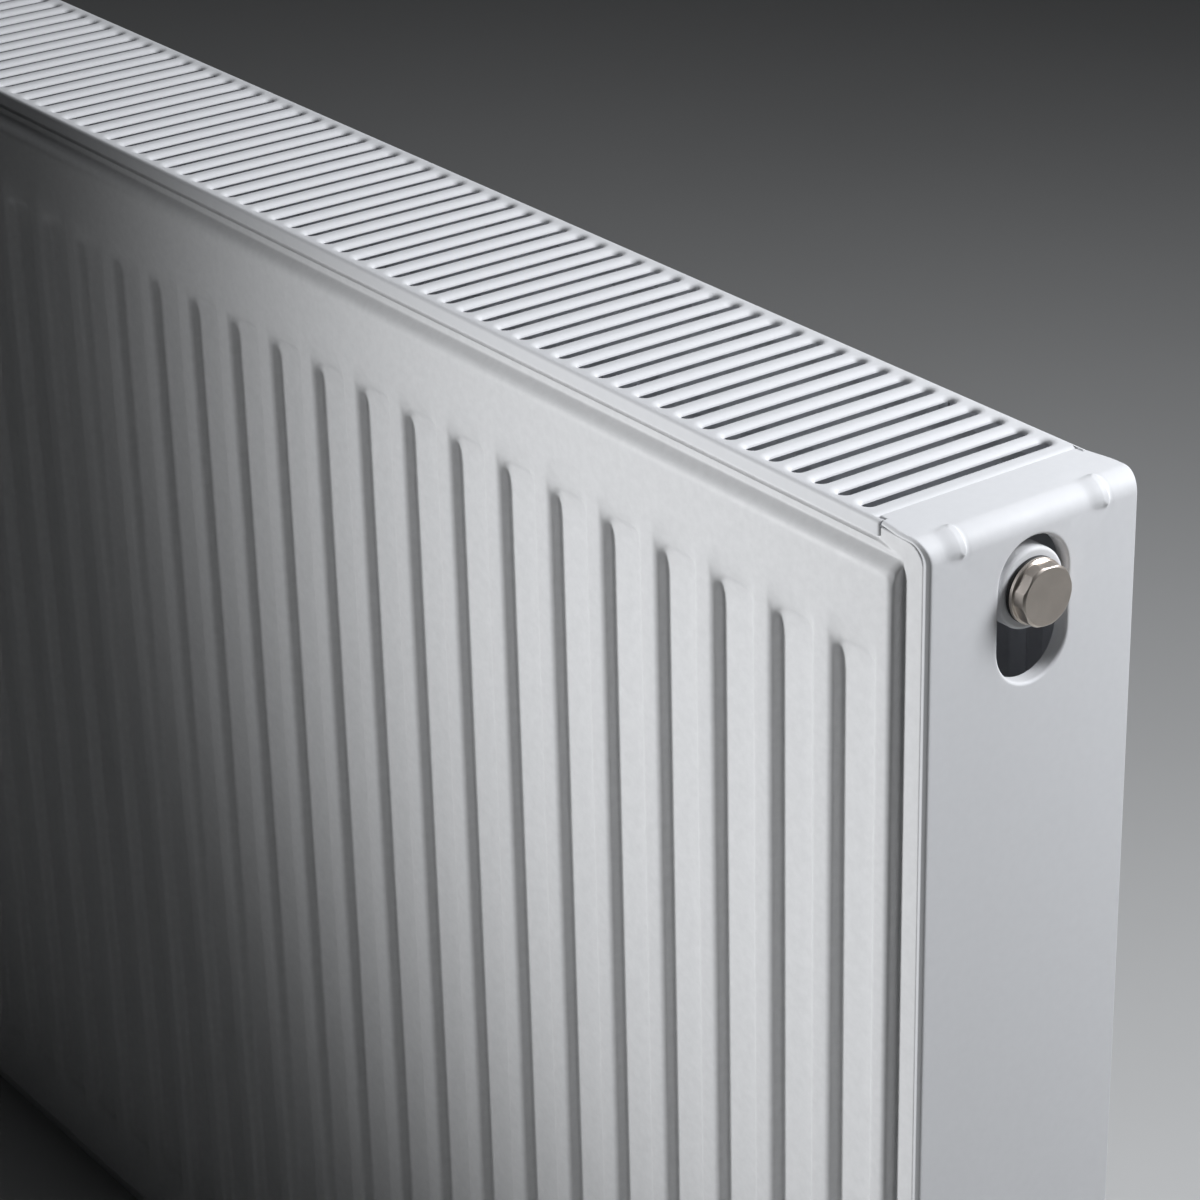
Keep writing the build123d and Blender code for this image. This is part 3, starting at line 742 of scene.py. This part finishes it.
def hex_shell(inner_profile):
    """Shank, flange and hexagon of a fitting, whose face carries on into an inner profile."""
    segments = 180
    angles = [hex_turn + 2 * math.pi * (k + 0.5) / segments for k in range(segments)]
    hexagon = np.array([hexagon_radius(a) for a in angles])
    level = np.ones(segments)
    flange_out = flange_at + flange_depth
    bevel = 0.25 * mm
    chamfer_start = face_at - (hexagon - face_radius) * chamfer_slope
    rings = [
        (flange_at - shank_depth, shank_radius - 1.0 * mm), (flange_at - shank_depth + 1 * mm, shank_radius),
        (flange_at, shank_radius), (flange_at, flange_radius - bevel), (flange_at + bevel, flange_radius),
        (flange_out - bevel, flange_radius), (flange_out, flange_radius - bevel),
        (flange_out, hexagon + bevel), (flange_out + 0.2 * mm, hexagon),
        (chamfer_start - 0.10 * mm, hexagon), (chamfer_start + 0.06 * mm, hexagon - 0.10 * mm),
        (face_at - 0.08 * mm, face_radius + 0.08 * mm), (face_at, face_radius - 0.1 * mm),
    ]
    rings += inner_profile
    points = []
    for along, radius in rings:
        along, radius = along * level, radius * level
        points += [(x, r * math.cos(a), r * math.sin(a)) for x, r, a in zip(along, radius, angles)]
    return points, closed_tube(len(rings), segments)


def on_axis(points, side, z):
    """Points about the X axis moved to a fitting's axis, and turned to the left end for side -1."""
    points = np.asarray(points, float)
    return np.stack([side * points[:, 0], mid_y + points[:, 1], z + points[:, 2]], 1)


plug_points, plug_faces = hex_shell([])
plug = make_piece("hex_blanking_plug", on_axis(plug_points, 1, tapping_z), plug_faces, nickel, sharp_angle=16)
install(plug, "nickel_plate", "panels", "blanking_plug")

vent_rings = [
    (face_at, 5.55 * mm), (face_at - 0.3 * mm, 5.25 * mm), (boss_x + 7.4 * mm, 5.25 * mm),
    (boss_x + 7.4 * mm, 4.2 * mm), (boss_x + 7.2 * mm, 4.0 * mm), (boss_x + 3.2 * mm, 4.0 * mm),
    (boss_x + 3.2 * mm, 3.0 * mm), (boss_x - 8.0 * mm, 3.0 * mm),
]
vent_points, vent_faces = hex_shell(vent_rings)
vent = make_piece("hex_air_vent", on_axis(vent_points, -1, tapping_z), vent_faces, nickel, sharp_angle=16)
install(vent, "nickel_plate", "panels", "air_vent_body")


def rounded_ring(name, node, side):
    """A flat rubber ring with well rounded edges."""
    half, outer, inner = seal_depth / 2, 12.3 * mm, 9.45 * mm
    section = []
    for step in range(24):
        angle = 2 * math.pi * step / 24
        round_x = math.copysign(abs(math.cos(angle)) ** 0.7, math.cos(angle))
        round_r = math.copysign(abs(math.sin(angle)) ** 0.7, math.sin(angle))
        section.append((boss_x + half + half * round_x, (outer + inner) / 2 + (outer - inner) / 2 * round_r))
    section.append(section[0])
    points, faces = lathe(section)
    ring = make_piece(name, on_axis(points, side, tapping_z), faces, rubber, sharp_angle=80)
    install(ring, "black_rubber", "panels", node)


rounded_ring("plug_ring", "blanking_plug_seal", 1)
rounded_ring("vent_ring", "air_vent_seal", -1)


def closed_solid(name, points, faces):
    """A plain object for cutting and joining, which isn't kept."""
    return make_piece(name, points, faces, cover_paint_painted_cool_tint)


def combine(piece, other, operation):
    """Joins or cuts a piece with another one, which is then removed."""
    cut = piece.modifiers.new(operation, "BOOLEAN")
    cut.operation = operation
    cut.object = other
    cut.solver = "EXACT"
    apply_modifiers(piece)
    bpy.data.objects.remove(other)


def capped_lathe(profile):
    return lathe(profile)[0], closed_tube(len(profile), 96)


def thread_tool():
    """The space inside a tapping: a half-inch pipe thread with a chamfered mouth and a tail drill."""
    segments, minor, depth = 96, 9.32 * mm, 1.05 * mm
    run = 15.9 * mm
    steps = int(run / (thread_pitch / 8))
    points = []
    for row in range(steps + 1):
        x = boss_x + 0.4 * mm - (run + 0.4 * mm) * row / steps
        for column in range(segments):
            angle = 2 * math.pi * column / segments
            phase = (x / thread_pitch - angle / (2 * math.pi)) % 1
            crest = 1 - abs(2 * phase - 1)
            fade = float(smooth_step(boss_x - x, 0.2 * mm, 1.4 * mm))
            fade *= float(1 - smooth_step(boss_x - x, 12.5 * mm, 15.0 * mm))
            mouth = max(0, 1.3 * mm - max(boss_x - x, 0)) * 0.8
            radius = minor + max(depth * float(smooth_step(crest, 0.12, 0.88)) * fade, mouth)
            points.append((x, radius * math.cos(angle), radius * math.sin(angle)))
    return points, closed_tube(steps + 1, segments)


def connection_tee():
    """Cross tube with a welded boss and a threaded mouth, about the X axis at the right end."""
    tube_x, tube_half = 470.0 * mm, tee_high.y - mid_y
    boss_radius, fillet = 15.25 * mm, 1.5 * mm
    tube_radius, waterway_radius, passage_radius = 13 * mm, 10 * mm, 8 * mm
    profile = [(tube_x, passage_radius), (tube_x, boss_radius)]
    for t in np.linspace(0, math.pi / 2, 8):
        profile.append((boss_x - fillet + fillet * math.sin(t), boss_radius - fillet + fillet * math.cos(t)))
    profile.append((boss_x, passage_radius))
    tee = closed_solid("connection_tee", *capped_lathe(profile))
    across, faces = capped_lathe([(-tube_half, tube_radius), (tube_half, tube_radius)])
    turned = [(tube_x + y, x, z) for x, y, z in across]
    combine(tee, closed_solid("tube", turned, faces), "UNION")
    past_end = tube_half + 1 * mm
    waterway, faces = capped_lathe([(-past_end, waterway_radius), (past_end, waterway_radius)])
    turned = [(tube_x + y, x, z) for x, y, z in waterway]
    combine(tee, closed_solid("waterway", turned, faces), "DIFFERENCE")
    combine(tee, closed_solid("thread", *thread_tool()), "DIFFERENCE")
    tail = capped_lathe([(tube_x, passage_radius), (boss_x - 10 * mm, passage_radius)])
    combine(tee, closed_solid("passage", *tail), "DIFFERENCE")
    return tee


tee_mesh = connection_tee()
for height, z in (("top", tapping_z), ("bottom", bottom_tapping_z)):
    for hand, side in (("right", 1), ("left", -1)):
        tee = tee_mesh.copy()
        tee.data = tee_mesh.data.copy()
        tee.name = f"threaded_tee_{height}_{hand}"
        bpy.context.scene.collection.objects.link(tee)
        for vertex in tee.data.vertices:
            x, y, height_z = vertex.co
            vertex.co = (side * x, mid_y + side * y, z + height_z)
        tee.data.shade_smooth()
        tee.data.set_sharp_from_angle(angle=math.radians(40))
        install(tee, "white_powder_coat", "panels", f"{height}_{hand}_tee")
bpy.data.objects.remove(tee_mesh)


# ---------------------------------------------------------------- convector fins
def convector_fins(name, node, lands_y, crests_y):
    """Corrugated sheet with rounded folds, welded to the lands behind the grooves' ridges."""
    low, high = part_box(node)
    foot = 4.5 * mm
    corners = []
    for i in range(groove_count - 1):
        x = channel_pitch * (i - (groove_count - 2) / 2)
        corners += [(x - foot, lands_y), (x + foot, lands_y)]
        if i < groove_count - 2:
            corners += [
                (x + channel_pitch / 2 - foot, crests_y), (x + channel_pitch / 2 + foot, crests_y),
            ]
    profile = rounded_profile(corners, [1.6 * mm] * (len(corners) - 2), 4)
    levels = np.linspace(low.z, high.z, 4)
    points = [(x, y, z) for z in levels for x, y in profile]
    fins = make_piece(name, points, grid_faces(len(levels), len(profile)), inner_paint_painted_light, (0, 1, 0), 0.4 * mm)
    install(fins, "white_powder_coat", "panels", node)


fin_low, fin_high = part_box("front_convector")
convector_fins("front_fins", "front_convector", fin_low.y + 0.4 * mm, fin_high.y - 0.1 * mm)
fin_low, fin_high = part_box("rear_convector")
convector_fins("rear_fins", "rear_convector", fin_high.y - 0.1 * mm, fin_low.y + 0.4 * mm)


# ---------------------------------------------------------------- pieces softened from the CAD
def softened(node, name, material, slot, body, width, segments=3):
    """A copy of a simple CAD node with rounded edges."""
    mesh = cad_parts[node].data.copy()
    mesh.name = name
    piece = bpy.data.objects.new(name, mesh)
    bpy.context.scene.collection.objects.link(piece)
    work = bmesh.new()
    work.from_mesh(mesh)
    bmesh.ops.remove_doubles(work, verts=work.verts, dist=0.005 * mm)
    bmesh.ops.dissolve_limit(work, angle_limit=math.radians(1), verts=work.verts, edges=work.edges)
    work.to_mesh(mesh)
    work.free()
    round_off = piece.modifiers.new("round", "BEVEL")
    round_off.width = width
    round_off.segments = segments
    round_off.limit_method = "ANGLE"
    round_off.angle_limit = math.radians(35)
    apply_modifiers(piece)
    piece.data.materials.clear()
    piece.data.materials.append(material)
    piece.data.shade_smooth()
    piece.data.set_sharp_from_angle(angle=math.radians(35))
    install(piece, slot, body, node)


for level in ("top", "bottom"):
    for hand in ("right", "left"):
        softened(f"hanging_lug_{level}_{hand}", f"lug_{level}_{hand}", cover_paint_painted_cool_tint,
                 "white_powder_coat", "panels", 0.5 * mm)
softened("grille_clips", "grille_spring_clips", zinc, "spring_steel", "grille", 0.12 * mm, 2)
for hand in ("right", "left"):
    softened(f"side_cover_clips_{hand}", f"cover_spring_clips_{hand}", zinc,
             "spring_steel", f"{hand}_cover", 0.12 * mm, 2)
softened("bleed_spindle", "bleed_screw", brass, "brass", "bleed_spindle", 0.15 * mm, 2)
softened("bleed_spindle_ring", "bleed_screw_ring", rubber, "black_rubber", "bleed_ring", 0.25 * mm, 3)

# The inner sheets take the bluer, lighter copy of the white paint, which is painted light in the shaded gaps.
for node in ("front_panel_inner_sheet", "rear_panel_inner_sheet"):
    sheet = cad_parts[node]
    sheet.data.materials.clear()
    sheet.data.materials.append(inner_paint_painted_light)


# ---------------------------------------------------------------- floor, light and camera
def make_floor():
    material, nodes, links, surface = new_material("floor")
    coordinates = nodes.new("ShaderNodeTexCoord")
    cloud = add_noise(nodes, links, coordinates, 1.5, 3)
    add_tint(nodes, links, surface, cloud, (0.62, 0.62, 0.61), (0.66, 0.66, 0.65))
    surface.inputs["Roughness"].default_value = 0.8
    mesh = bpy.data.meshes.new("floor")
    size = 6.0
    mesh.from_pydata(
        [(-size, -size, 0), (size, -size, 0), (size, size, 0), (-size, size, 0)], [], [(0, 1, 2, 3)]
    )
    mesh.materials.append(material)
    floor = bpy.data.objects.new("floor", mesh)
    bpy.context.scene.collection.objects.link(floor)


def area_light(name, place, target, size, power, colour):
    data = bpy.data.lights.new(name, "AREA")
    data.shape = "RECTANGLE"
    data.size, data.size_y = size
    data.energy = power
    data.color = colour
    light = bpy.data.objects.new(name, data)
    light.location = place
    light.rotation_euler = (Vector(target) - Vector(place)).to_track_quat("-Z", "Y").to_euler()
    bpy.context.scene.collection.objects.link(light)


def spot_light(name, place, target, angle, blend, power, radius, colour):
    data = bpy.data.lights.new(name, "SPOT")
    data.spot_size = math.radians(angle)
    data.spot_blend = blend
    data.energy = power
    data.shadow_soft_size = radius
    data.color = colour
    light = bpy.data.objects.new(name, data)
    light.location = place
    light.rotation_euler = (Vector(target) - Vector(place)).to_track_quat("-Z", "Y").to_euler()
    bpy.context.scene.collection.objects.link(light)


make_floor()
corner = Vector((panel_half, front_seam_y, panel_top))
key_colour, soft_colour = (0.96, 0.975, 1.0), (0.94, 0.96, 1.0)
spot_light(
    "key", corner + Vector((-0.95, -1.32, -0.04)), corner + Vector((0.08, 0, -0.07)),
    angle=40, blend=1.0, power=94, radius=0.16, colour=key_colour,
)
area_light(
    "side", corner + Vector((0.48, 0.72, 0.55)), corner + Vector((0, 0.08, 0)),
    size=(0.4, 0.4), power=13.0, colour=soft_colour,
)
area_light(
    "overhead", corner + Vector((-0.35, 0.70, 1.25)), corner + Vector((-0.1, 0.05, 0)),
    size=(1.5, 1.3), power=9.8, colour=soft_colour,
)

world = bpy.data.worlds.new("studio")
bpy.context.scene.world = world
world.use_nodes = True
world.node_tree.nodes["Background"].inputs["Color"].default_value = (0.9, 0.95, 1.0, 1)
world.node_tree.nodes["Background"].inputs["Strength"].default_value = 0.01
bpy.context.scene.view_settings.view_transform = "Standard"

camera_data = bpy.data.cameras.new("camera")
camera_data.lens = 108.58
camera_data.sensor_width = 36
camera_data.clip_start, camera_data.clip_end = 0.05, 50
camera = bpy.data.objects.new("camera", camera_data)
camera.location = corner + Vector((0.82020, -0.73020, 0.50880))
camera.rotation_euler = Euler([math.radians(a) for a in (64.362, 1.303, 53.348)], "XYZ")
bpy.context.scene.collection.objects.link(camera)
bpy.context.scene.camera = camera
